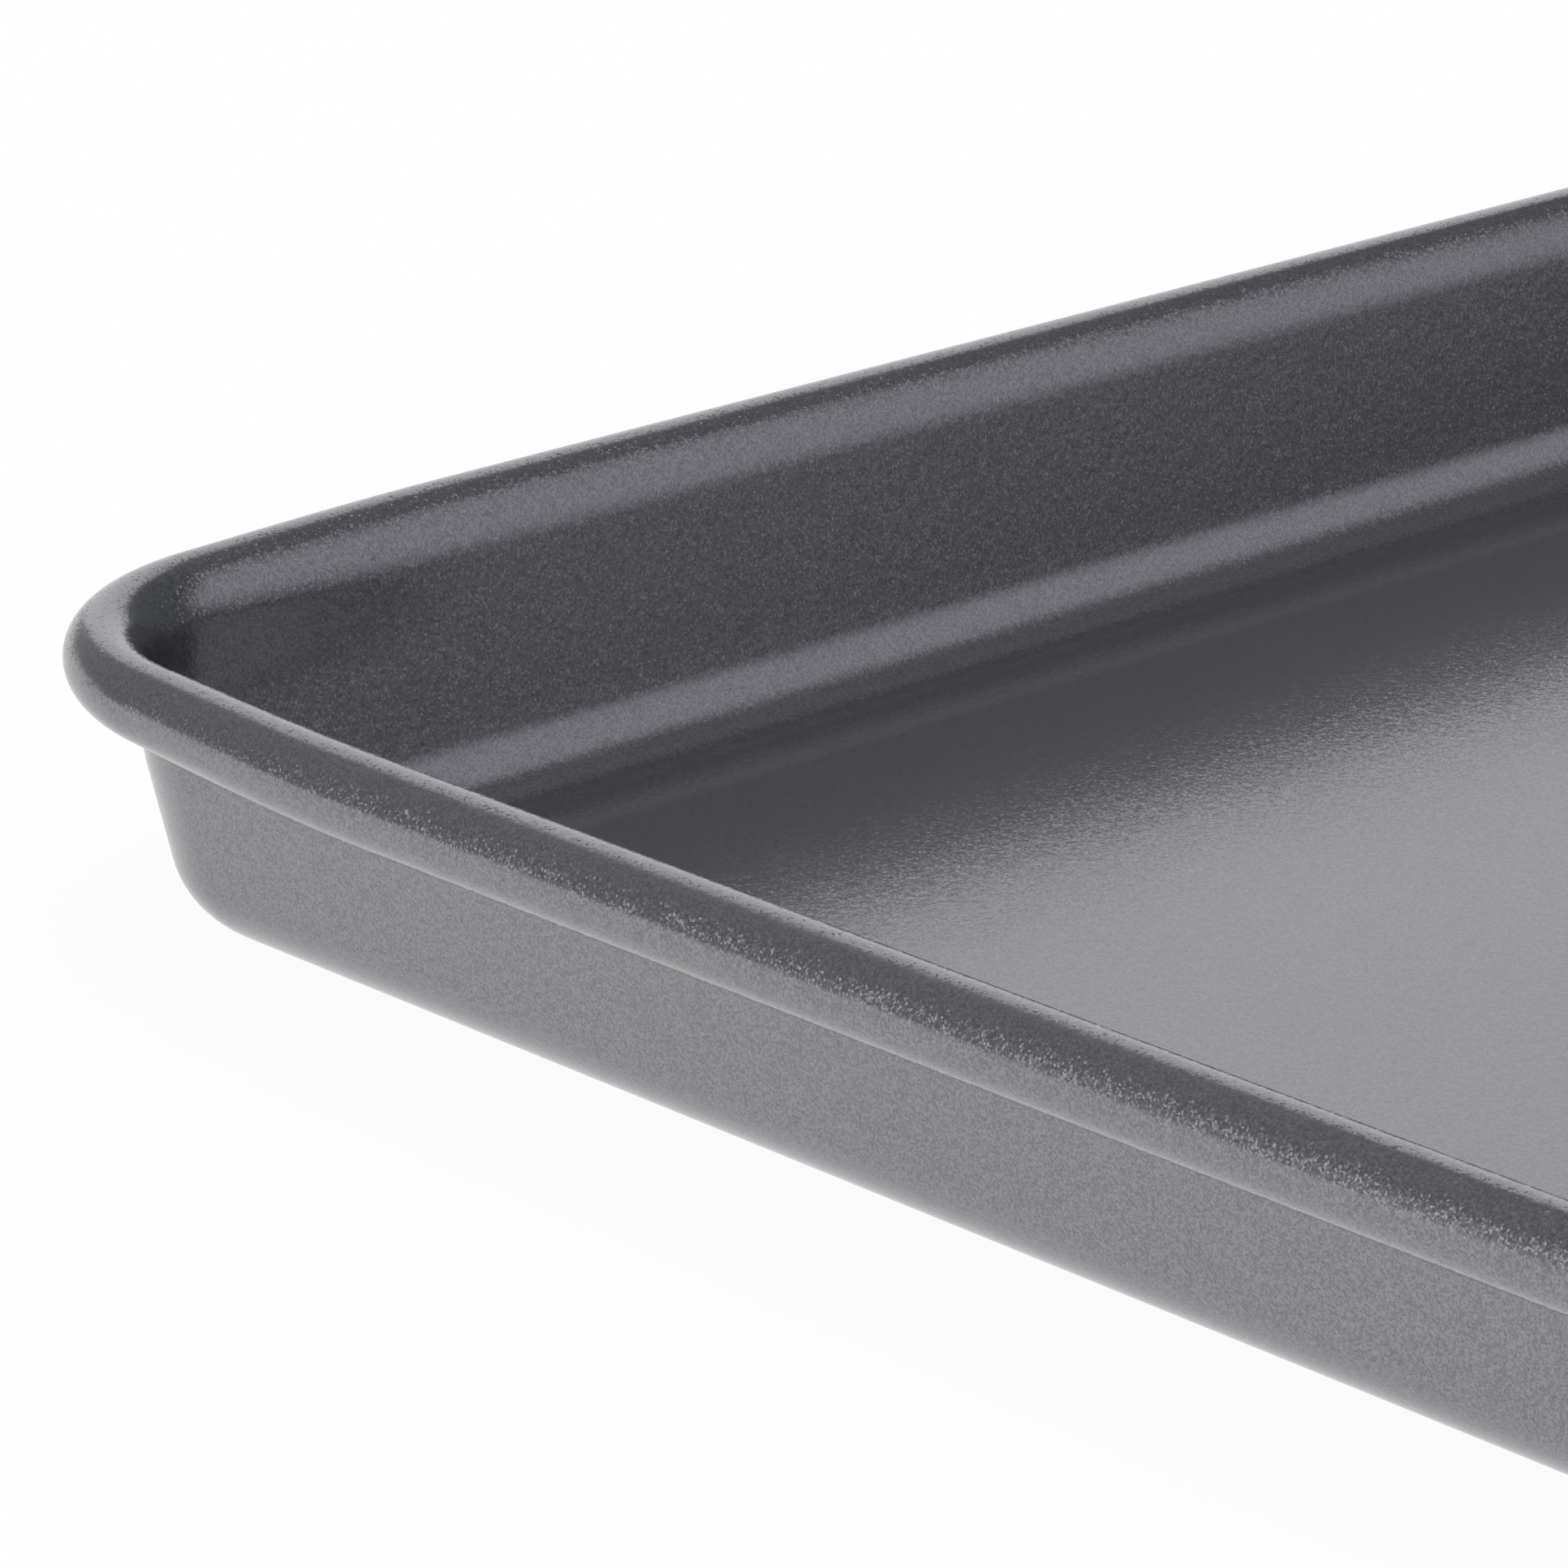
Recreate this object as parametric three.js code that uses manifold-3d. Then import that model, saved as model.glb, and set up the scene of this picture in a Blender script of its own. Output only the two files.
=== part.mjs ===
// A rimmed cookie sheet: one pressed steel tray whose edge is rolled over a steel rim wire.
// Millimetres, +Z up. The origin is the middle of the underside, +X runs along the long sides.
import * as THREE from "three";
import { mergeVertices } from "three/addons/utils/BufferGeometryUtils.js";
import Module from "manifold-3d";

const wasm = await Module();
wasm.setup();

// Driving dimensions
const trayLength = 438; // over the rolled rim, along X
const trayWidth = 292; // over the rolled rim, along Y
const trayHeight = 20; // from the underside to the top of the rim
const sheetThickness = 0.7;
const wireDiameter = 2.8;
const wireClearance = 0.25; // all round, between the wire and the roll, where the roll is tightest
const wireJointGap = 1; // between the two butted ends of the wire
const wallLean = THREE.MathUtils.degToRad(12.9); // from upright
const floorBendRadius = 5.2; // inside of the bend between floor and wall
const floorCornerRadius = 6; // of the flat floor's corners, in plan
const rimSwell = 0.35; // how much wider the roll's radius is along the sides than in the corners
const rimDraw = 1.6; // how far the rim is drawn in over the wall in the middle of a corner
const drawReach = 36; // from a corner's middle, along the rim, to where the rim is no longer drawn in
const drawDepth = 9; // from the top of the rim down to where the wall is no longer drawn in
const flareRadius = 6.5; // upper face of the arc by which the wall turns into the roll
const flareTurn = THREE.MathUtils.degToRad(45); // from upright, where the roll takes over from that arc
const rolledEdgeGap = 0.9; // between the rolled edge and the wall in the middle of a corner

// Fineness of the round stretches
const cornerSteps = 8; // to a quarter turn, in plan
const drawSteps = 3; // on the stretch of a side where the rim is drawn in
const bendSteps = 5;
const neckSteps = 4;
const flareSteps = 4;
const rollSteps = 5; // to each of the roll's three stretches
const wireSides = 12;

// The rolled rim along the sides: a round roll about the wire
const rollInnerRadius = wireDiameter / 2 + wireClearance + rimSwell;
const rimRadius = rollInnerRadius + sheetThickness;
const rimInset = rimRadius; // of the roll's centre, from the overall edge
const rimHeight = trayHeight - rimRadius; // of the roll's centre
const rollStart = Math.PI - flareTurn; // measured from straight out, up over the top
const startDraw = rimDraw + rimSwell * Math.cos(rollStart);
const startRise = rimSwell * (1 - Math.sin(rollStart));

// The flare: a wider arc about a centre of its own, between the wall and the roll
const flareUnderside = flareRadius - sheetThickness;
const flareOffset = flareRadius - rimRadius;
const flareInset = rimInset - flareOffset * Math.cos(flareTurn);
const flareHeight = rimHeight - flareOffset * Math.sin(flareTurn);
const drawFoot = trayHeight - drawDepth; // the wall below this height is not drawn in
const flareFoot = flareHeight + flareRadius * Math.sin(wallLean);
const flareTop = flareHeight + flareRadius * Math.sin(flareTurn);
const neckLength = (flareFoot - drawFoot) / Math.cos(wallLean); // of the wall that is drawn in

// The rolled edge comes nearest to the wall in the middle of a corner
const wallReach = flareUnderside - flareOffset * Math.cos(flareTurn - wallLean);
const edgeLean = (rimDraw + rolledEdgeGap) * Math.cos(wallLean) + rimSwell * Math.sin(wallLean);
const edgeReach = (wallReach - edgeLean) / (rimRadius - rimSwell);
const rollEnd = -Math.PI / 2 - wallLean - Math.asin(edgeReach);

// The bend between floor and wall: its centre stands over the edge of the flat floor
const outerBendRadius = floorBendRadius + sheetThickness;
const bendAngle = Math.PI / 2 - wallLean;
const wallInset = flareInset + flareUnderside / Math.cos(wallLean); // outside, level with the flare's centre
const wallFootInset = wallInset + flareHeight * Math.tan(wallLean); // where the wall's line meets the ground
const floorInset = wallFootInset + outerBendRadius * Math.tan(bendAngle / 2);

// Corners in plan: all lines turn about the same four centres
const rimCornerRadius = floorCornerRadius + floorInset; // outside of the rim
const rimArc = (rimCornerRadius - rimInset) * Math.PI / 2; // length of a corner, along the roll's centre
const drawLength = drawReach - rimArc / 2; // of the stretch of a side where the rim is drawn in

// One line of the section goes round the tray as a rounded rectangle.
// drawIn and rise are how far it moves in and up in the middle of a corner.
function sectionLine(inset, height, drawIn, rise) {
  return { inset, height, drawIn, rise };
}

// Lines of the roll. In the corners the roll is tighter, with its top at the same height.
function roll(radius, angle) {
  const inset = rimInset - radius * Math.cos(angle);
  const height = rimHeight + radius * Math.sin(angle);
  return sectionLine(inset, height, rimDraw + rimSwell * Math.cos(angle), rimSwell * (1 - Math.sin(angle)));
}

// Lines of the wire, which keeps its thickness and follows the middle of the roll
function wire(angle) {
  const inset = rimInset - (wireDiameter / 2) * Math.cos(angle);
  const height = rimHeight + (wireDiameter / 2) * Math.sin(angle);
  return sectionLine(inset, height, rimDraw, rimSwell);
}

function bend(radius, angle) {
  return sectionLine(floorInset - radius * Math.sin(angle), outerBendRadius - radius * Math.cos(angle), 0, 0);
}

// The flare at an angle from upright, or the wall at a length below it.
// The radius picks the face of the sheet.
function neck(radius, angle, below) {
  const inset = flareInset + radius * Math.cos(angle) + below * Math.sin(wallLean);
  const base = flareHeight - below * Math.cos(wallLean);
  const upperHeight = base + flareRadius * Math.sin(angle);
  const share = THREE.MathUtils.smoothstep(upperHeight, drawFoot, flareTop);
  return sectionLine(inset, base + radius * Math.sin(angle), share * startDraw, share * startRise);
}

// From the foot of the drawn-in wall up to where the roll starts
function neckLines(radius) {
  const wall = spread(neckSteps, neckLength, 0, (below) => neck(radius, wallLean, below));
  const flare = spread(flareSteps, wallLean, flareTurn, (angle) => neck(radius, angle, 0));
  return [...wall.slice(0, -1), ...flare.slice(0, -1)];
}

// What make gives at even steps between two values, both ends among them
function spread(steps, from, to, make) {
  const values = Array.from({ length: steps + 1 }, (_, step) => THREE.MathUtils.lerp(from, to, step / steps));
  return values.map((value) => make(value));
}

// Angles round the roll, from the wall to the rolled edge, with its top and its outermost point among them
function rollAngles() {
  const stops = [rollStart, Math.PI / 2, 0, rollEnd];
  const stretches = stops.slice(1).map((stop, i) => spread(rollSteps, stops[i], stop, (angle) => angle));
  return [rollStart, ...stretches.flatMap((angles) => angles.slice(1))];
}

// The sheet's section, from the floor's underside round the rolled edge and back to the floor's upper face
function sheetSection() {
  return [
    ...spread(bendSteps, 0, bendAngle, (angle) => bend(outerBendRadius, angle)),
    ...neckLines(flareUnderside),
    ...rollAngles().map((angle) => roll(rollInnerRadius, angle)),
    ...rollAngles().reverse().map((angle) => roll(rimRadius, angle)),
    ...neckLines(flareRadius).reverse(),
    ...spread(bendSteps, bendAngle, 0, (angle) => bend(floorBendRadius, angle)),
  ];
}

// Places along one corner, counter-clockwise: its share of the quarter turn, and how far along a side
function cornerStations() {
  const before = spread(drawSteps, -drawLength, 0, (along) => ({ turn: 0, along }));
  const around = spread(cornerSteps, 0, 1, (turn) => ({ turn, along: 0 }));
  const after = spread(drawSteps, 0, drawLength, (along) => ({ turn: 1, along }));
  return [...before.slice(0, -1), ...around, ...after.slice(1)];
}

// How much of the drawing in a place gets: all in a corner's middle, none past drawReach
function drawShare({ turn, along }) {
  const distance = rimArc * Math.abs(turn - 0.5) + Math.abs(along);
  return 0.5 + 0.5 * Math.cos(Math.PI * Math.min(distance / drawReach, 1));
}

// The points of one line, counter-clockwise seen from above
function linePoints({ inset, height, drawIn, rise }) {
  const centreX = trayLength / 2 - rimCornerRadius;
  const centreY = trayWidth / 2 - rimCornerRadius;
  const corners = [[1, 1], [-1, 1], [-1, -1], [1, -1]];
  return corners.flatMap(([sideX, sideY], corner) => cornerStations().map((station) => {
    const angle = (corner + station.turn) * Math.PI / 2;
    const share = drawShare(station);
    const reach = rimCornerRadius - inset - share * drawIn;
    const x = sideX * centreX + reach * Math.cos(angle) - station.along * Math.sin(angle);
    const y = sideY * centreY + reach * Math.sin(angle) + station.along * Math.cos(angle);
    return [x, y, height + share * rise];
  }));
}

// Skins neighbouring lines with triangles. A ring's last line joins its first; otherwise both ends are
// closed by flat faces.
function skin(lines, isRing) {
  const loops = lines.map(linePoints);
  const count = loops[0].length;
  const points = loops.flat();
  const triangles = [];
  const bands = isRing ? loops.length : loops.length - 1;
  for (let band = 0; band < bands; band += 1) {
    const here = band * count;
    const beyond = ((band + 1) % loops.length) * count;
    for (let step = 0; step < count; step += 1) {
      const next = (step + 1) % count;
      triangles.push(here + step, here + next, beyond + next);
      triangles.push(here + step, beyond + next, beyond + step);
    }
  }
  if (!isRing) {
    const last = (loops.length - 1) * count;
    const underside = points.push([0, 0, lines[0].height]) - 1;
    const upperFace = points.push([0, 0, lines.at(-1).height]) - 1;
    for (let step = 0; step < count; step += 1) {
      const next = (step + 1) % count;
      triangles.push(underside, next, step);
      triangles.push(upperFace, last + step, last + next);
    }
  }
  const geometry = new THREE.BufferGeometry();
  geometry.setAttribute("position", new THREE.Float32BufferAttribute(points.flat(), 3));
  geometry.setIndex(triangles);
  return geometry;
}

function toSolid(geometry) {
  const bare = geometry.clone();
  bare.deleteAttribute("normal");
  bare.deleteAttribute("uv");
  const merged = mergeVertices(bare);
  return new wasm.Manifold(new wasm.Mesh({
    numProp: 3,
    vertProperties: new Float32Array(merged.attributes.position.array),
    triVerts: new Uint32Array(merged.index.array),
  }));
}

function toGeometry(solid) {
  const { vertProperties, triVerts } = solid.getMesh();
  const geometry = new THREE.BufferGeometry();
  geometry.setAttribute("position", new THREE.Float32BufferAttribute(vertProperties, 3));
  geometry.setIndex(new THREE.Uint32BufferAttribute(triVerts, 1));
  return geometry;
}

// The wire: one length bent round the rim, its ends butted in the middle of the back long side
function wireGeometry() {
  const around = spread(wireSides, -Math.PI, Math.PI, wire).slice(0, -1);
  const cutter = new THREE.BoxGeometry(wireJointGap, 2 * wireDiameter, 2 * wireDiameter);
  cutter.translate(0, trayWidth / 2 - rimInset, rimHeight);
  return toGeometry(toSolid(skin(around, true)).subtract(toSolid(cutter)));
}

function namedMesh(name, geometry, material) {
  geometry.computeVertexNormals();
  const mesh = new THREE.Mesh(geometry, material);
  mesh.name = name;
  return mesh;
}

const nonStickCoat = new THREE.MeshStandardMaterial({ color: 0x4a4c50, roughness: 0.4, metalness: 0.5 });
const brightWire = new THREE.MeshStandardMaterial({ color: 0x9a9c9e, roughness: 0.35, metalness: 1 });

const cookieSheet = new THREE.Group();
cookieSheet.add(namedMesh("tray_pan", skin(sheetSection(), false), nonStickCoat));
cookieSheet.add(namedMesh("rim_wire", wireGeometry(), brightWire));

export default cookieSheet;
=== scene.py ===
# Cookie sheet: a pressed tray with a dark non-stick coat and a rim rolled over a wire, in a white studio
import math

import bmesh
import bpy
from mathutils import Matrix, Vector


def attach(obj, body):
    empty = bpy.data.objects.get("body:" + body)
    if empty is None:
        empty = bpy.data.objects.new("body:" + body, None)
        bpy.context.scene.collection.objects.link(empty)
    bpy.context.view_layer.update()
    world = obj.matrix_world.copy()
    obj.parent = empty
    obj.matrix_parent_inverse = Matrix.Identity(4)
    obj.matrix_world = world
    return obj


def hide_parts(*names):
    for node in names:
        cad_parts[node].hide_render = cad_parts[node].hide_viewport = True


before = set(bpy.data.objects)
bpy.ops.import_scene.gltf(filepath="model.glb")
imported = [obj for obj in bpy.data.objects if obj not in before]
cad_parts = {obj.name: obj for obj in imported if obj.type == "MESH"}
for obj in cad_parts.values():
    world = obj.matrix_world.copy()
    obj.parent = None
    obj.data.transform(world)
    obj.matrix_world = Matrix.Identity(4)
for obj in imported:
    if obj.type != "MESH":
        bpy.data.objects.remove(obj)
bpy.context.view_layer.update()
print("frame loaded:", ", ".join(sorted(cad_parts)))

tray = {                                   # metres; the same sizes as the solids
    "length": 0.438, "width": 0.292, "height": 0.020,
    "sheet": 0.0007,
    "wallLean": math.radians(12.9),        # from upright
    "floorBend": 0.0052,                   # inside radius between floor and wall
    "floorCorner": 0.006,                  # of the flat floor, seen from above
    "rollInside": 0.002,                   # inside radius of the rolled rim along the sides
    "rimSwell": 0.00035,                   # how much tighter the roll is in the corners
    "rimDraw": 0.0016,                     # how far the rim is drawn in at a corner's middle
    "drawReach": 0.036,                    # along the rim, from a corner's middle to where that ends
    "drawDepth": 0.009,                    # from the rim's top down to where the wall isn't drawn in
    "flare": 0.0065,                       # radius of the arc between wall and roll
    "flareTurn": math.radians(45),         # from upright, where the roll takes over
    "edgeGap": 0.0009,                     # rolled edge to wall, at a corner's middle
    "bendSteps": 22, "wallSteps": 4, "neckSteps": 6, "flareSteps": 16, "rollSteps": 60,
    "cornerSteps": 36, "drawSteps": 10,
    "floorBorder": 0.003,                  # ring of flat faces that keeps the floor's shading flat
    "edgeRound": 0.00012,                  # on the sheet's cut edge
}

# how both pieces are finished
finish = {
    "mergeGap": 1e-6, "mirrorGap": 1e-5,   # closer points become one
    "crease": math.radians(60),            # an edge sharper than this is rounded
    "roundSteps": 2,
    "shadeAngle": math.radians(40),        # an edge flatter than this is shaded smooth
}

# lines of the section that the tray and the wire share
lean = tray["wallLean"]
rimRadius = tray["rollInside"] + tray["sheet"]
rimHeight = tray["height"] - rimRadius     # the roll's centre
drawFoot = tray["height"] - tray["drawDepth"]
rollStart = math.pi - tray["flareTurn"]    # from straight out, up over the top
flareOffset = tray["flare"] - rimRadius
flareInset = rimRadius - flareOffset * math.cos(tray["flareTurn"])
flareHeight = rimHeight - flareOffset * math.sin(tray["flareTurn"])
flareFoot = flareHeight + tray["flare"] * math.sin(lean)
flareTop = flareHeight + tray["flare"] * math.sin(tray["flareTurn"])
wallReach = tray["flare"] - tray["sheet"] - flareOffset * math.cos(tray["flareTurn"] - lean)
edgeLean = (tray["rimDraw"] + tray["edgeGap"]) * math.cos(lean) + tray["rimSwell"] * math.sin(lean)
edgeReach = (wallReach - edgeLean) / (rimRadius - tray["rimSwell"])
rollEnd = -math.pi / 2 - lean - math.asin(edgeReach)
bendCentre = tray["floorBend"] + tray["sheet"]
bendAngle = math.pi / 2 - lean
wallInset = flareInset + tray["flare"] / math.cos(lean)    # the inside, level with the flare's centre
wallFoot = wallInset - tray["sheet"] / math.cos(lean) + flareHeight * math.tan(lean)
floorInset = wallFoot + bendCentre * math.tan(bendAngle / 2)
rimCorner = tray["floorCorner"] + floorInset
centreX = tray["length"] / 2 - rimCorner   # all corner lines turn about these points
centreY = tray["width"] / 2 - rimCorner
rimArc = (rimCorner - rimRadius) * math.pi / 2
drawLength = tray["drawReach"] - rimArc / 2


def onFront(inset, height):                # a point of the section, in the middle of the front side
    return Vector((0, inset - tray["width"] / 2, height))


def smooth(value, low, high):
    share = min(max((value - low) / (high - low), 0), 1)
    return share * share * (3 - 2 * share)


def startPiece(name):                      # takes the primitive just added, with its place put in its mesh
    piece = bpy.context.object
    piece.name = name
    piece.data.name = name
    bpy.ops.object.transform_apply(location=True, rotation=True, scale=True)
    bpy.ops.object.mode_set(mode="EDIT")
    bpy.ops.mesh.select_all(action="SELECT")
    return piece


def drag(step):
    bpy.ops.mesh.extrude_region_move(TRANSFORM_OT_translate={"value": step})


def dragAlong(start, end, steps):          # in even steps, for a stretch that is shaped later
    for _ in range(steps):
        drag((end - start) / steps)


def sweepHalf(backEnd):                    # takes the selected section from the front round to the back
    shortStep = Vector((drawLength, 0, 0))
    sideStep = Vector((0, drawLength, 0))
    nothing = Vector((0, 0, 0))
    steps = tray["drawSteps"]
    drag((centreX - drawLength, 0, 0))
    dragAlong(nothing, shortStep, steps)
    bpy.ops.mesh.spin(steps=tray["cornerSteps"], angle=math.pi / 2,
                      center=(centreX, -centreY, 0), axis=(0, 0, -1))
    dragAlong(nothing, sideStep, steps)
    drag((0, 2 * (centreY - drawLength), 0))
    dragAlong(nothing, sideStep, steps)
    bpy.ops.mesh.spin(steps=tray["cornerSteps"], angle=math.pi / 2,
                      center=(centreX, centreY, 0), axis=(0, 0, -1))
    dragAlong(nothing, -shortStep, steps)
    drag((backEnd - (centreX - drawLength), 0, 0))


def cornerShare(x, y):                     # how much a place is drawn in, which way, and its inset
    acrossX = abs(x) - centreX
    acrossY = abs(y) - centreY
    turn = math.atan2(max(acrossY, 0), max(acrossX, 0))
    along = max(-acrossX, 0) + max(-acrossY, 0)
    distance = rimArc * abs(turn / (math.pi / 2) - 0.5) + along
    share = 0.5 + 0.5 * math.cos(math.pi * min(distance / tray["drawReach"], 1))
    inward = Vector((-math.copysign(math.cos(turn), x), -math.copysign(math.sin(turn), y), 0))
    reach = math.hypot(max(acrossX, 0), max(acrossY, 0))
    return share, inward, rimCorner - reach


def drawIn(piece, shiftAt):                # the press pulls the rim in and up at the corners
    bpy.ops.object.mode_set(mode="OBJECT")
    for vert in piece.data.vertices:
        share, inward, inset = cornerShare(vert.co.x, vert.co.y)
        across, rise = shiftAt(inset, vert.co.z)
        vert.co += share * (across * inward + Vector((0, 0, rise)))


def applyModifier(piece, kind, settings):
    modifier = piece.modifiers.new(kind, kind)
    for name, value in settings.items():
        setattr(modifier, name, value)
    bpy.ops.object.modifier_apply(modifier=modifier.name)


def mirrorAcross(piece):                   # the left half, from the right one
    applyModifier(piece, "MIRROR", {"use_axis": (True, False, False),
                                    "merge_threshold": finish["mirrorGap"]})


def roundEdges(piece, width):              # sharp edges only
    applyModifier(piece, "BEVEL", {"width": width, "segments": finish["roundSteps"],
                                   "limit_method": "ANGLE", "angle_limit": finish["crease"]})


def selectVerts(piece, wanted):
    bpy.ops.mesh.select_all(action="DESELECT")
    editMesh = bmesh.from_edit_mesh(piece.data)
    for vert in editMesh.verts:
        vert.select_set(wanted(vert.co))
    editMesh.select_flush(True)
    bmesh.update_edit_mesh(piece.data)


# tray: one section swept round the right half, mirrored, floored and given the sheet's thickness
def sheetShift(inset, height):
    out, up = rimRadius - inset, height - rimHeight
    swell = tray["rimSwell"]
    if math.hypot(out, up) > rimRadius + finish["mergeGap"]:       # flare, wall, bend and floor
        share, angle = smooth(height, drawFoot, flareTop), rollStart
    else:
        share, angle = 1, math.atan2(up, out)
    return share * (tray["rimDraw"] + swell * math.cos(angle)), share * swell * (1 - math.sin(angle))


def makeTray():
    bpy.ops.object.select_all(action="DESELECT")
    floorEdge = onFront(floorInset, tray["sheet"])
    bpy.ops.mesh.primitive_plane_add(size=tray["sheet"], location=floorEdge)
    pan = startPiece("panSheet")
    bpy.ops.mesh.merge(type="CENTER")
    bpy.ops.mesh.spin(steps=tray["bendSteps"], angle=bendAngle,
                      center=onFront(floorInset, bendCentre), axis=(1, 0, 0))
    bendTop = bendCentre - tray["floorBend"] * math.cos(bendAngle)

    def onWall(height):
        return onFront(wallInset + (flareHeight - height) * math.tan(lean), height)
    dragAlong(onWall(bendTop), onWall(drawFoot), tray["wallSteps"])
    dragAlong(onWall(drawFoot), onWall(flareFoot), tray["neckSteps"])
    bpy.ops.mesh.spin(steps=tray["flareSteps"], angle=tray["flareTurn"] - lean,
                      center=onFront(flareInset, flareHeight), axis=(-1, 0, 0))
    bpy.ops.mesh.spin(steps=tray["rollSteps"], angle=rollStart - rollEnd,
                      center=onFront(rimRadius, rimHeight), axis=(-1, 0, 0))
    bpy.ops.mesh.select_all(action="SELECT")
    sweepHalf(0)
    bpy.ops.mesh.select_all(action="SELECT")
    bpy.ops.mesh.remove_doubles(threshold=finish["mergeGap"])
    drawIn(pan, sheetShift)
    mirrorAcross(pan)
    bpy.ops.object.mode_set(mode="EDIT")
    selectVerts(pan, lambda co: co.z < tray["sheet"] + finish["mergeGap"])
    bpy.ops.mesh.edge_face_add()
    bpy.ops.mesh.inset(thickness=tray["floorBorder"])
    bpy.ops.mesh.select_all(action="SELECT")
    bpy.ops.mesh.normals_make_consistent(inside=False)
    bpy.ops.object.mode_set(mode="OBJECT")
    biggest = max(pan.data.polygons, key=lambda face: face.area)
    if biggest.normal.z < 0:               # the floor looks up
        pan.data.flip_normals()
    applyModifier(pan, "SOLIDIFY", {"thickness": tray["sheet"], "offset": -1, "use_even_offset": True})
    roundEdges(pan, tray["edgeRound"])
    bpy.ops.object.shade_smooth_by_angle(angle=finish["shadeAngle"])
    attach(pan, "root")
    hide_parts("tray_pan")
    print("tray:", len(pan.data.polygons), "faces")
    return pan


# rim wire: a ring swept round the same path, its ends butted in the middle of the back
wire = {"diameter": 0.0028, "jointGap": 0.001, "sides": 20, "endRound": 0.0003}


def wireShift(inset, height):
    return tray["rimDraw"], tray["rimSwell"]


def makeWire():
    bpy.ops.object.select_all(action="DESELECT")
    bpy.ops.mesh.primitive_circle_add(vertices=wire["sides"], radius=wire["diameter"] / 2,
                                      location=onFront(rimRadius, rimHeight), rotation=(0, math.pi / 2, 0))
    ring = startPiece("rimWire")
    sweepHalf(wire["jointGap"] / 2)
    bpy.ops.mesh.edge_face_add()
    bpy.ops.mesh.select_all(action="SELECT")
    bpy.ops.mesh.remove_doubles(threshold=finish["mergeGap"])
    drawIn(ring, wireShift)
    mirrorAcross(ring)
    roundEdges(ring, wire["endRound"])
    bpy.ops.object.mode_set(mode="EDIT")
    bpy.ops.mesh.select_all(action="SELECT")
    bpy.ops.mesh.normals_make_consistent(inside=False)
    bpy.ops.object.mode_set(mode="OBJECT")
    bpy.ops.object.shade_smooth_by_angle(angle=finish["shadeAngle"])
    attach(ring, "root")
    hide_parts("rim_wire")
    print("rim wire:", len(ring.data.polygons), "faces")
    return ring


class Tone:                                # a socket that is used like a number
    def __init__(self, tree, socket=None):
        self.tree = tree
        self.socket = socket

    def node(self, kind, settings, sockets, output=0):
        made = self.tree.nodes.new(kind)
        for name, value in settings.items():
            setattr(made, name, value)
        for key, value in sockets.items():
            if isinstance(value, Tone):
                self.tree.links.new(value.socket, made.inputs[key])
            else:
                made.inputs[key].default_value = value
        return Tone(self.tree, made.outputs[output] if made.outputs else None)

    def math(self, operation, first, second):
        return self.node("ShaderNodeMath", {"operation": operation}, {0: first, 1: second})

    def __add__(self, other):
        return self.math("ADD", self, other)

    def __radd__(self, other):
        return self.math("ADD", other, self)

    def __sub__(self, other):
        return self.math("SUBTRACT", self, other)

    def __rsub__(self, other):
        return self.math("SUBTRACT", other, self)

    def __mul__(self, other):
        return self.math("MULTIPLY", self, other)

    def __rmul__(self, other):
        return self.math("MULTIPLY", other, self)

    def __lt__(self, other):
        return self.math("LESS_THAN", self, other)

    def ramp(self, low, high, toLow=0.0, toHigh=1.0):      # eased from low to high
        return self.node("ShaderNodeMapRange", {"interpolation_type": "SMOOTHSTEP"}, {
            "Value": self, "From Min": low, "From Max": high, "To Min": toLow, "To Max": toHigh})

    def size(self):                        # without its sign
        return self.math("ABSOLUTE", self, 0)


def newMaterial(name):
    material = bpy.data.materials.new(name)
    material.use_nodes = True
    material.node_tree.nodes.clear()
    return material, Tone(material.node_tree)


def mixColour(tone, factor, first, second):
    return tone.node("ShaderNodeMix", {"data_type": "RGBA"}, {0: factor, 6: first, 7: second}, 2)


def endMaterial(tone, shader):
    tone.node("ShaderNodeOutputMaterial", {}, {"Surface": shader})


def placeAxes(tone, place):
    return (tone.node("ShaderNodeSeparateXYZ", {}, {"Vector": place}, axis) for axis in "XYZ")


def noise(tone, place, scale, detail):
    return tone.node("ShaderNodeTexNoise", {}, {"Vector": place, "Scale": scale, "Detail": detail})


def vectorMath(tone, operation, first, second):
    return tone.node("ShaderNodeVectorMath", {"operation": operation}, {0: first, 1: second})


# non-stick coat: a dark metallic film with a slight orange peel, its flakes leaning a little each way
coat = {
    "dark": (0.181, 0.184, 0.192, 1), "light": (0.301, 0.304, 0.314, 1),   # from flake to flake
    "metal": 0.935, "rimMetal": 0.905, "floorMetal": 0.94,
    "poolMetal": 0.86, "poolReach": 0.0051, "poolFull": 0.0034,    # thicker film along the walls' foot
    "toe": 0.0005,                         # height over the floor where the walls' film takes over
    "flakeSize": 0.00013, "flakeLean": 0.05,
    "looseShare": 0.4, "wallLoose": 0.1, "rimLoose": 0.27,     # rolling the rim stirs the flakes
    "floorCalm": 0.45, "floorShade": 0.65,     # share of the flakes' lean and contrast on the flat floor
    "peelSize": 0.0007, "peelDepth": 1.3e-5, "peelDetail": 1.0,
    "roughness": 0.18, "smoother": 0.006, "rougher": 0.012,
    "wearSize": 1 / 30, "wearDetail": 3.0, "wearFrom": 0.3, "wearTo": 0.7,
    "dustGap": 0.009, "dustSize": 0.00009, "dustShare": 0.35, "dust": (0.7, 0.7, 0.7, 1),
}


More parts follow.
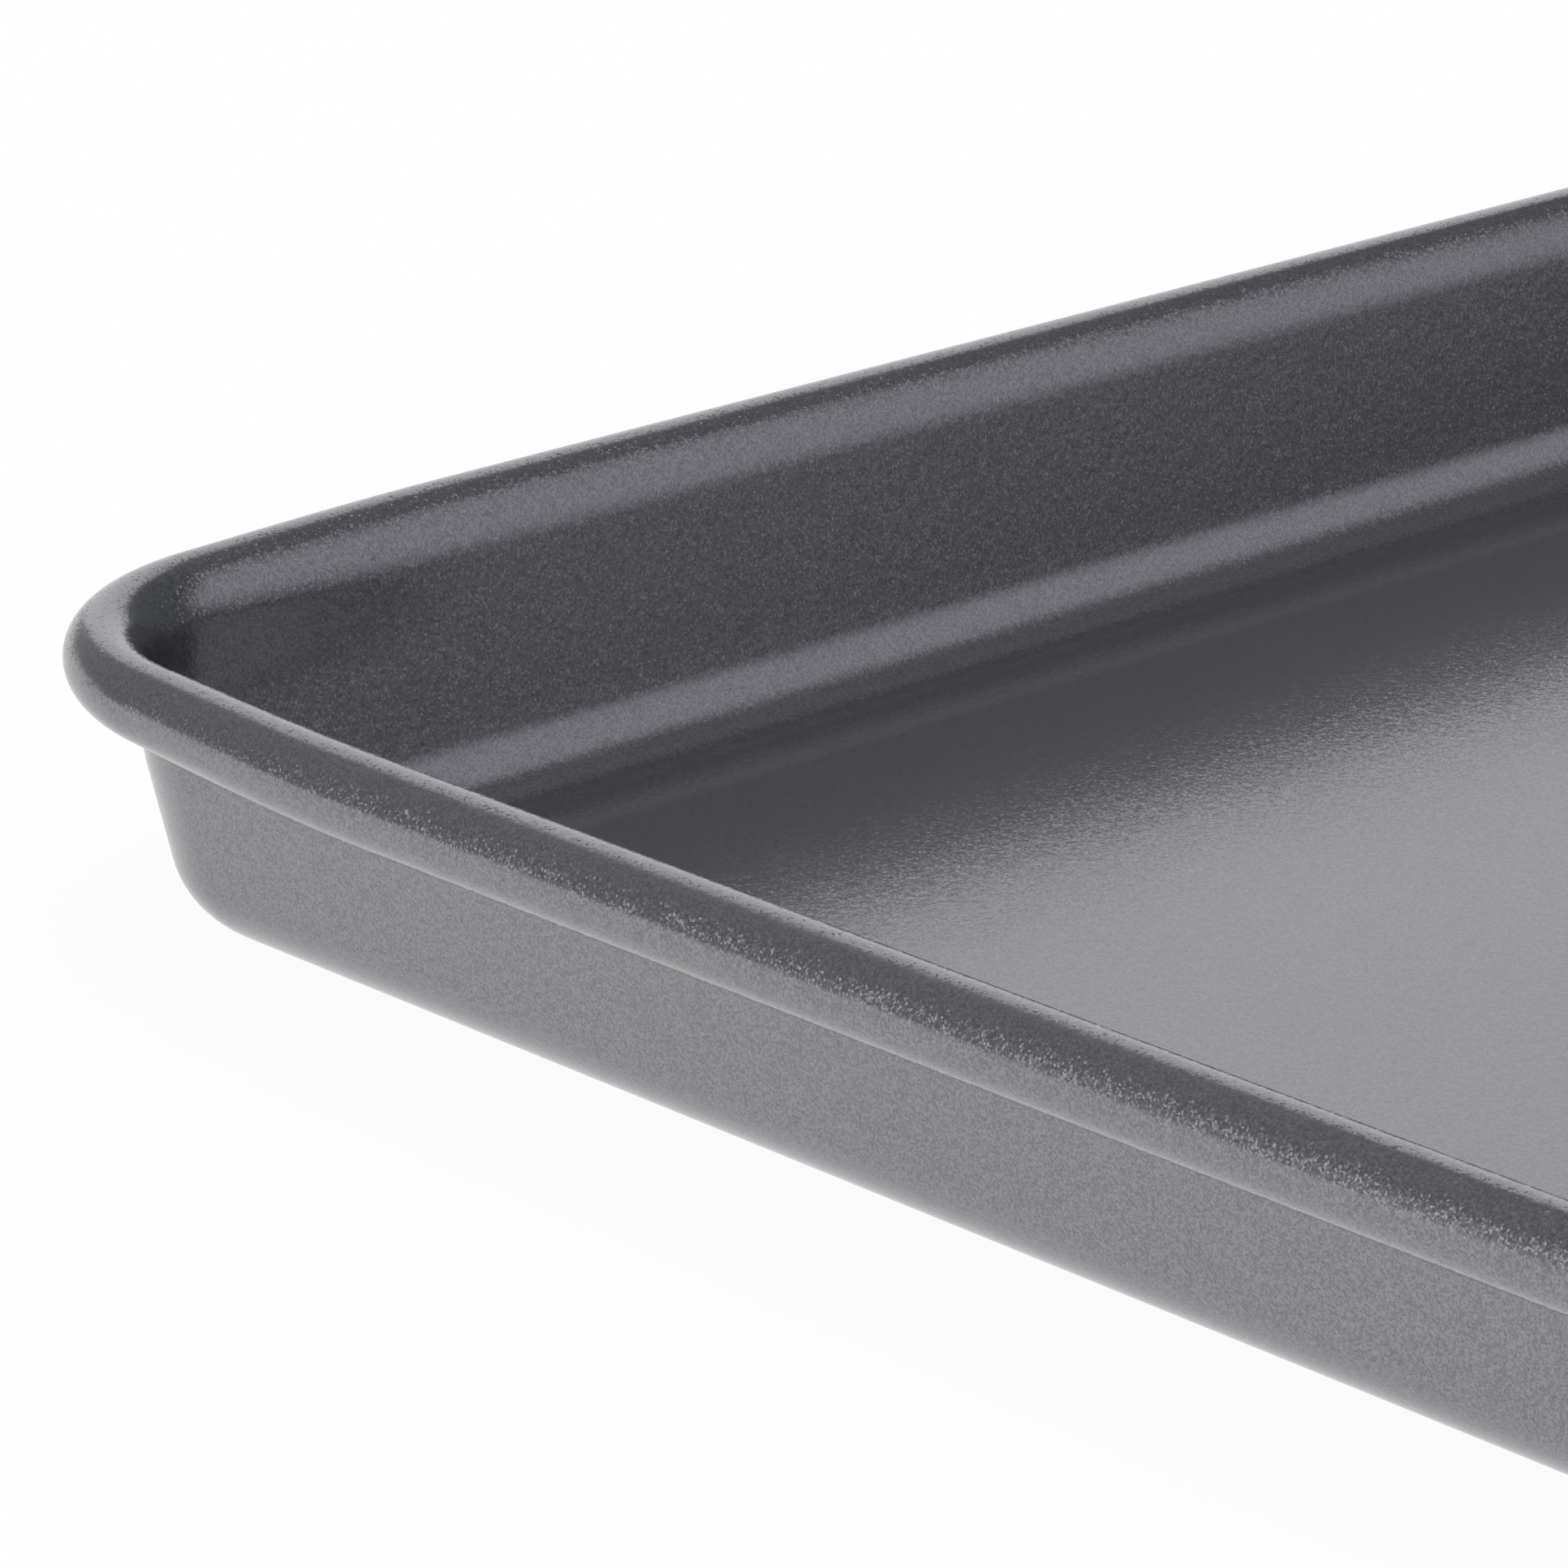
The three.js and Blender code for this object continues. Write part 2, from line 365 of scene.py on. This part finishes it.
def makeCoat():
    material, tone = newMaterial("nonStickCoat")
    place = tone.node("ShaderNodeTexCoord", {}, {}, "Object")
    x, y, height = placeAxes(tone, place)

    # orange peel, and on it the flakes
    peel = noise(tone, place, 1 / coat["peelSize"], coat["peelDetail"])
    peelNormal = tone.node("ShaderNodeBump", {}, {
        "Strength": 1.0, "Distance": coat["peelDepth"], "Height": peel})
    flakeNet = {"Vector": place, "Scale": 1 / coat["flakeSize"]}
    cell = tone.node("ShaderNodeTexVoronoi", {}, flakeNet, "Position")
    chance = tone.node("ShaderNodeTexWhiteNoise", {}, {"Vector": cell}, "Value")
    draw = tone.node("ShaderNodeTexWhiteNoise", {}, {"Vector": cell}, "Color")
    sideways = vectorMath(tone, "SUBTRACT", draw, (0.5, 0.5, 0.5))
    calm = height.ramp(tray["sheet"], tray["floorBend"], coat["floorCalm"], 1.0)
    stir = height.ramp(flareFoot, rimHeight, coat["wallLoose"], coat["rimLoose"])
    amount = (chance.ramp(1 - coat["looseShare"], 1) * stir + coat["flakeLean"]) * calm
    leaning = tone.node("ShaderNodeVectorMath", {"operation": "SCALE"}, {0: sideways, "Scale": amount})
    summed = vectorMath(tone, "ADD", leaning, peelNormal)
    flakeNormal = tone.node("ShaderNodeVectorMath", {"operation": "NORMALIZE"}, {0: summed})
    contrast = height.ramp(tray["sheet"], tray["floorBend"], coat["floorShade"], 1.0)
    shade = (chance - 0.5) * contrast + 0.5
    flakes = mixColour(tone, shade, coat["dark"], coat["light"])

    # dust specks, in some of the cells of a wide net
    dustNet = {"Vector": place, "Scale": 1 / coat["dustGap"]}
    speckDistance = tone.node("ShaderNodeTexVoronoi", {}, dustNet, "Distance")
    speckPlace = tone.node("ShaderNodeTexVoronoi", {}, dustNet, "Position")
    speckChance = tone.node("ShaderNodeTexWhiteNoise", {}, {"Vector": speckPlace})
    speckReach = coat["dustSize"] / coat["dustGap"]
    dust = speckDistance.ramp(speckReach, 2 * speckReach, 1.0, 0.0) * (speckChance < coat["dustShare"])

    # share of metal: less where the film is thick or stirred
    sides = ((x, tray["length"] / 2 - floorInset), (y, tray["width"] / 2 - floorInset))
    nearX, nearY = (value.size().ramp(edge - coat["poolReach"], edge - coat["poolFull"])
                    for value, edge in sides)
    pooled = tone.math("MAXIMUM", nearX, nearY)
    floorMetal = coat["floorMetal"] - pooled * (coat["floorMetal"] - coat["poolMetal"])
    sideMetal = height.ramp(flareFoot, rimHeight, coat["metal"], coat["rimMetal"])
    metal = height.ramp(tray["sheet"], tray["sheet"] + coat["toe"], floorMetal, sideMetal)

    wear = noise(tone, place, 1 / coat["wearSize"], coat["wearDetail"])
    film = tone.node("ShaderNodeBsdfPrincipled", {}, {
        "Base Color": mixColour(tone, dust, flakes, coat["dust"]),
        "Metallic": metal * (1 - dust),
        "Roughness": wear.ramp(coat["wearFrom"], coat["wearTo"], coat["roughness"] - coat["smoother"],
                               coat["roughness"] + coat["rougher"]),
        "Normal": flakeNormal})
    endMaterial(tone, film)
    return material


# rim steel: bright wire with the die's fine lines along it, dulled in patches
steel = {
    "bright": (0.62, 0.62, 0.62, 1), "dull": (0.4, 0.385, 0.36, 1),
    "lineGap": 0.00012, "lineStretch": 0.02, "lineDetail": 2.0,
    "patch": 0.011, "patchDetail": 4.0, "tarnishFrom": 0.4, "tarnishTo": 0.75,
    "smoothest": 0.22, "roughest": 0.46, "roughFrom": 0.3, "roughTo": 1.4,
}


def makeSteel():
    material, tone = newMaterial("rimSteel")
    place = tone.node("ShaderNodeTexCoord", {}, {}, "Object")
    x, y, z = placeAxes(tone, place)
    onShort = x.size().ramp(centreX, centreX + rimCorner / 2)      # the short sides run along Y
    stretchX = onShort * (1 - steel["lineStretch"]) + steel["lineStretch"]
    stretchY = 1 + steel["lineStretch"] - stretchX
    along = tone.node("ShaderNodeCombineXYZ", {}, {"X": x * stretchX, "Y": y * stretchY, "Z": z})
    lines = noise(tone, along, 1 / steel["lineGap"], steel["lineDetail"])
    patches = noise(tone, place, 1 / steel["patch"], steel["patchDetail"])
    tarnish = patches.ramp(steel["tarnishFrom"], steel["tarnishTo"])
    metal = tone.node("ShaderNodeBsdfPrincipled", {}, {
        "Base Color": mixColour(tone, tarnish, steel["bright"], steel["dull"]),
        "Metallic": 1.0,
        "Roughness": (lines + tarnish).ramp(steel["roughFrom"], steel["roughTo"],
                                            steel["smoothest"], steel["roughest"])})
    endMaterial(tone, metal)
    return material


# studio: a white floor, soft panels that the coat mirrors, and a lamp overhead for the plain light
studio = {
    "floorSize": 40.0, "floorDrop": 0.0002,    # just under the tray
    "floorColour": (0.9, 0.9, 0.9, 1), "floorGlow": 0.95,      # share that is white to the eye
    "lampAngle": math.radians(60), "lampLevel": 1.2, "lampHeight": 3,
    "room": (0.155, 0.162, 0.182, 1),
}

# what stands round the tray, in degrees as seen from it; azimuth is from +X, counter-clockwise
panels = {                                 # a later one stands before an earlier one
    "ceiling": {"azimuth": 180, "half": 190, "sideSoft": 1, "low": 40, "lowSoft": 5,
                "high": 95, "highSoft": 5, "colour": (0.225, 0.225, 0.243, 1)},
    "cameraBox": {"azimuth": -55, "half": 55, "sideSoft": 10, "low": 48, "lowSoft": 6,
                  "high": 95, "highSoft": 5, "colour": (1.1, 1.1, 1.1, 1)},
    "overhead": {"azimuth": 180, "half": 190, "sideSoft": 1, "low": 61, "lowSoft": 5,
                 "high": 95, "highSoft": 5, "colour": (1.1, 1.1, 1.1, 1)},
    "frontDim": {"azimuth": 195, "half": 45, "sideSoft": 6, "low": -10, "lowSoft": 5,
                 "high": 75, "highSoft": 6, "colour": (0.35, 0.35, 0.37, 1)},
    "frontGlow": {"azimuth": 267, "half": 34, "sideSoft": 10, "low": 0, "lowSoft": 6,
                  "high": 40, "highSoft": 12, "colour": (1.15, 1.15, 1.2, 1)},
    "cameraSide": {"azimuth": -45, "half": 50, "sideSoft": 10, "low": -10, "lowSoft": 5,
                   "high": 50, "highSoft": 8, "colour": (0.58, 0.573, 0.62, 1)},
    "sideCard": {"azimuth": 28, "half": 38, "sideSoft": 8, "low": 6.3, "lowSoft": 12,
                 "high": 52, "highSoft": 4, "colour": (0.672, 0.662, 0.716, 1)},
    "cove": {"azimuth": 175, "half": 25, "sideSoft": 8, "low": -10, "lowSoft": 2,
             "high": 5, "highSoft": 4, "colour": (0.95, 0.95, 0.95, 1)},
    "backCard": {"azimuth": 138, "half": 19, "sideSoft": 3.5, "low": -10, "lowSoft": 2,
                 "high": 38, "highSoft": 2.5, "colour": (1, 1, 1, 1)},
}


def makeFloor():
    bpy.ops.object.select_all(action="DESELECT")
    bpy.ops.mesh.primitive_plane_add(size=studio["floorSize"], location=(0, 0, -studio["floorDrop"]))
    floor = bpy.context.object
    floor.name = "studioFloor"
    material, tone = newMaterial("studioPaper")
    camera, glossy, through = (tone.node("ShaderNodeLightPath", {}, {}, name) for name in
                               ("Is Camera Ray", "Is Glossy Ray", "Is Transmission Ray"))
    seen = camera + glossy + through
    paper = tone.node("ShaderNodeBsdfDiffuse", {}, {"Color": studio["floorColour"]})
    glow = tone.node("ShaderNodeEmission", {}, {"Color": (1, 1, 1, 1), "Strength": 1.0})
    mixed = tone.node("ShaderNodeMixShader", {}, {0: seen * studio["floorGlow"], 1: paper, 2: glow})
    endMaterial(tone, mixed)
    floor.data.materials.append(material)


def panelMask(tone, way, height, panel):   # 1 inside a panel of the studio, seen from the tray
    def along(x, y):
        sockets = {0: way, 1: (x, y, 0)}
        return tone.node("ShaderNodeVectorMath", {"operation": "DOT_PRODUCT"}, sockets, "Value")

    def over(value, edge, soft):
        return value.ramp(math.radians(edge - soft), math.radians(edge + soft))

    middle = math.radians(panel["azimuth"])
    ahead = along(math.cos(middle), math.sin(middle))
    aside = along(-math.sin(middle), math.cos(middle))
    turn = tone.math("ARCTAN2", aside, ahead).size()
    above = over(height, panel["low"], panel["lowSoft"])
    below = 1 - over(height, panel["high"], panel["highSoft"])
    return above * below * (1 - over(turn, panel["half"], panel["sideSoft"]))


def makeWorld():
    world = bpy.data.worlds.new("studioRoom")
    bpy.context.scene.world = world
    world.use_nodes = True
    world.node_tree.nodes.clear()
    tone = Tone(world.node_tree)
    way = tone.node("ShaderNodeTexCoord", {}, {}, "Generated")
    upward = tone.node("ShaderNodeSeparateXYZ", {}, {"Vector": way}, "Z")
    height = tone.math("ARCSINE", upward, 0)
    colour = studio["room"]
    for panel in panels.values():
        colour = mixColour(tone, panelMask(tone, way, height, panel), colour, panel["colour"])
    back = tone.node("ShaderNodeBackground", {}, {"Color": colour, "Strength": 1.0})
    tone.node("ShaderNodeOutputWorld", {}, {"Surface": back})


def makeLamp():
    bpy.ops.object.light_add(type="SUN", location=(0, 0, studio["lampHeight"]))
    lamp = bpy.context.object
    lamp.name = "overheadLight"
    lamp.data.angle = studio["lampAngle"]
    lamp.data.energy = studio["lampLevel"]
    lamp.visible_glossy = False            # the panels give the gloss


# camera: long lens, near the front-right, on the corner at the front-left
shot = {
    "azimuth": math.radians(47.272), "elevation": math.radians(19.210),
    "place": (0.139432, -0.403101, 0.160874),
    "imageSize": 1932, "focalPixels": 9236, "sensor": 36.0,
    "nearest": 0.01,                       # it sees nothing closer than this
}


def makeCamera():
    flat = math.cos(shot["elevation"])
    back = Vector((math.sin(shot["azimuth"]) * flat, -math.cos(shot["azimuth"]) * flat,
                   math.sin(shot["elevation"])))
    turn = (-back).to_track_quat("-Z", "Y").to_euler()
    bpy.ops.object.camera_add(location=shot["place"], rotation=turn)
    camera = bpy.context.object
    camera.name = "photoCamera"
    camera.data.sensor_width = shot["sensor"]
    camera.data.lens = shot["sensor"] * shot["focalPixels"] / shot["imageSize"]
    camera.data.clip_start = shot["nearest"]
    bpy.context.scene.camera = camera
    print("camera set")


makeCamera()
pan = makeTray()
ring = makeWire()
pan.data.materials.clear()
pan.data.materials.append(makeCoat())
ring.data.materials.clear()
ring.data.materials.append(makeSteel())
print("materials made")
makeFloor()
makeWorld()
makeLamp()
bpy.context.scene.view_settings.view_transform = "Standard"
print("studio made")
